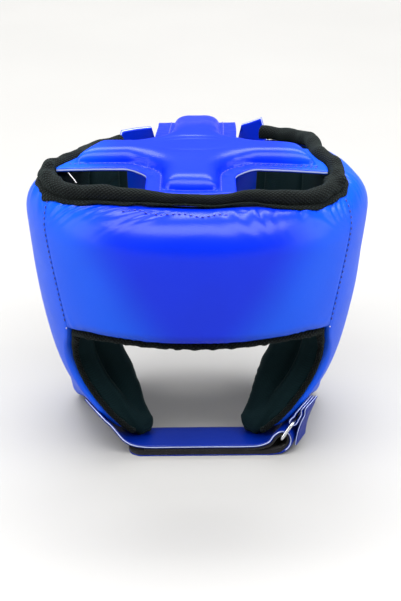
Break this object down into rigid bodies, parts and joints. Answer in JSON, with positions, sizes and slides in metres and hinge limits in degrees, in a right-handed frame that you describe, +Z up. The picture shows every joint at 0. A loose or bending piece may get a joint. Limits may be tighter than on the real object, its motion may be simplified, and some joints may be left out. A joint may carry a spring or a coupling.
{
  "type": "boxing head guard",
  "caption": "Padded sparring head guard with cheek flaps, knit lining, a padded crown cross, a rear closing strap and a chin strap folded through a steel ring.",
  "frame": {"origin": "on the surface it stands on, under the middle of its bounding box", "axes": "+Z up, -Y towards the face opening, +X towards the wearer's left"},
  "size_m": [0.211, 0.2204, 0.1933],
  "materials": {
    "vinyl": "glossy synthetic leather",
    "lining": "dark knit mesh",
    "binding": "black knit roll",
    "pile": "black hook-and-loop pile",
    "steel": "bright wire"
  },
  "bodies": {
    "root": {"forehead_pad": "vinyl", "forehead_lining": "lining", "cheek_pad_left": "vinyl", "cheek_lining_left": "lining", "cheek_pad_right": "vinyl", "cheek_lining_right": "lining", "rear_pad_left": "vinyl", "rear_lining_left": "lining", "rear_pad_right": "vinyl", "rear_lining_right": "lining", "top_binding": "binding", "face_binding": "binding", "crown_cross": "vinyl", "rear_strap": "vinyl", "chin_strap": "vinyl", "strap_pile": "pile", "ring_tab": "vinyl", "tab_tail": "vinyl", "chin_ring": "steel"}
  },
  "joints": []
}
